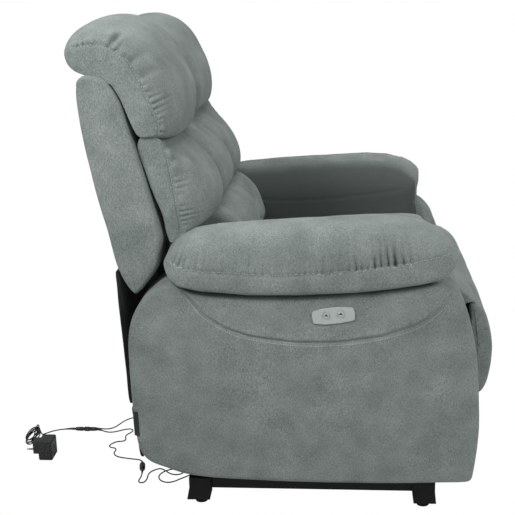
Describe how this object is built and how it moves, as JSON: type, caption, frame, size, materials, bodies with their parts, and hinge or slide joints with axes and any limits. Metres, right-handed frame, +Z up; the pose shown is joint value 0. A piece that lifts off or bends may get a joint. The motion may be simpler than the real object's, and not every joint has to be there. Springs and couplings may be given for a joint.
{
  "type": "power lift recliner armchair",
  "caption": "Upholstered sit-to-stand lift armchair on a steel lifting base, with reclining back, folding footrest, arm-side control plate, and a wall adapter with cords.",
  "frame": {"origin": "on the floor, under the centre of the chair's bounding box", "axes": "+X the way the sitter faces, +Y to the sitter's left, +Z up"},
  "size_m": [1.1095, 0.86, 1.036],
  "materials": {
    "upholstery": "short-pile upholstery fabric, grey-green",
    "liner": "same fabric, flat panel",
    "ply": "plywood and softwood",
    "frame_steel": "black powder coat",
    "base_paint": "black powder coat",
    "foot_plastic": "black plastic",
    "motor_plastic": "black moulded housing",
    "rod_steel": "bright steel",
    "plate_plastic": "light grey plastic",
    "button_plastic": "light grey plastic",
    "adapter_plastic": "black plastic",
    "cord_rubber": "black flexible cord"
  },
  "bodies": {
    "base": {"base_side_rail_left": "base_paint", "base_side_rail_right": "base_paint", "base_cross_tube_front": "base_paint", "base_cross_tube_rear": "base_paint", "foot_front_left": "foot_plastic", "foot_front_right": "foot_plastic", "foot_rear_left": "foot_plastic", "foot_rear_right": "foot_plastic", "lift_bracket_left": "frame_steel", "lift_bracket_right": "frame_steel", "lift_motor": "motor_plastic", "junction_box": "motor_plastic", "power_adapter": "adapter_plastic", "adapter_plug_insert": "adapter_plastic", "adapter_lead_near": "cord_rubber", "adapter_lead_far": "cord_rubber", "cord_a": "cord_rubber", "cord_b_outer": "cord_rubber", "cord_b_inner": "cord_rubber", "adapter_lead_hank": "cord_rubber", "cord_splitter": "adapter_plastic", "inline_connector": "adapter_plastic"},
    "lift_arms": {"lift_arm_left": "frame_steel", "lift_arm_right": "frame_steel", "lift_torque_tube": "frame_steel"},
    "lift_rod": {"lift_rod": "rod_steel"},
    "chair": {"arm_board_left": "ply", "arm_board_right": "ply", "arm_panel_left": "upholstery", "arm_panel_right": "upholstery", "arm_pad_left": "upholstery", "arm_pad_right": "upholstery", "lift_plate_left": "frame_steel", "lift_plate_right": "frame_steel", "seat_rail_left": "frame_steel", "seat_rail_right": "frame_steel", "back_bracket_left": "frame_steel", "back_bracket_right": "frame_steel", "seat_cross_tube": "frame_steel", "front_rail": "ply", "footrest_shaft": "rod_steel", "seat_cushion": "upholstery", "seat_front_roll": "upholstery", "rear_panel_lower": "liner", "recline_motor": "motor_plastic", "control_plate": "plate_plastic"},
    "button_down": {"button_down": "button_plastic"},
    "button_up": {"button_up": "button_plastic"},
    "backrest": {"back_shell": "upholstery", "head_pillow": "upholstery", "upper_lumbar": "upholstery", "lower_lumbar": "upholstery", "back_hinge_tube": "frame_steel"},
    "rear_flap": {"rear_flap": "liner"},
    "footrest_upper": {"footrest_upper_link_left": "rod_steel", "footrest_upper_link_right": "rod_steel"},
    "footrest_lower": {"footrest_lower_link_left": "rod_steel", "footrest_lower_link_right": "rod_steel"},
    "footrest": {"footrest_board": "ply", "footrest_pad": "upholstery"}
  },
  "joints": [
    {"name": "lift", "type": "hinge", "parent": "base", "child": "lift_arms", "pos_m": [0.25, 0, 0.15], "axis": [0, 1, 0], "range_deg": [0, 50]},
    {"name": "chair_tilt", "type": "hinge", "parent": "lift_arms", "child": "chair", "pos_m": [-0.2227, 0, 0.0667], "axis": [0, 1, 0], "range_deg": [-25.01, 0]},
    {"name": "lift_rod_slide", "type": "slide", "parent": "base", "child": "lift_rod", "axis": [0.9158, 0, 0.4017], "range_m": [0, 0.0677]},
    {"name": "recline", "type": "hinge", "parent": "chair", "child": "backrest", "pos_m": [-0.29, 0, 0.5], "axis": [0, 1, 0], "range_deg": [-34, 0]},
    {"name": "rear_flap_swing", "type": "hinge", "parent": "chair", "child": "rear_flap", "pos_m": [-0.321, 0, 0.24], "axis": [0, 1, 0], "range_deg": [-10.3, 0]},
    {"name": "footrest_swing", "type": "hinge", "parent": "chair", "child": "footrest_upper", "pos_m": [0.3, 0, 0.35], "axis": [0, 1, 0], "range_deg": [-113.6, 0]},
    {"name": "footrest_knee", "type": "hinge", "parent": "footrest_upper", "child": "footrest_lower", "pos_m": [0.24, 0, 0.2], "axis": [0, 1, 0], "range_deg": [0, 123.3]},
    {"name": "footrest_heel", "type": "hinge", "parent": "footrest_lower", "child": "footrest", "pos_m": [0.372, 0, 0.29], "axis": [0, 1, 0], "range_deg": [-97.7, 0]},
    {"name": "press_down", "type": "slide", "parent": "chair", "child": "button_down", "axis": [0, 1, 0], "range_m": [0, 0.0018], "stiffness_N_per_m": 600},
    {"name": "press_up", "type": "slide", "parent": "chair", "child": "button_up", "axis": [0, 1, 0], "range_m": [0, 0.0018], "stiffness_N_per_m": 600}
  ],
  "couplings": [
    {"joint": "chair_tilt", "follows": "lift", "ratio": -0.5},
    {"joint": "lift_rod_slide", "follows": "lift", "m_per_rad": 0.07753},
    {"joint": "rear_flap_swing", "follows": "recline", "ratio": 0.3},
    {"joint": "footrest_knee", "follows": "footrest_swing", "ratio": -1.0845},
    {"joint": "footrest_heel", "follows": "footrest_swing", "ratio": 0.859}
  ]
}
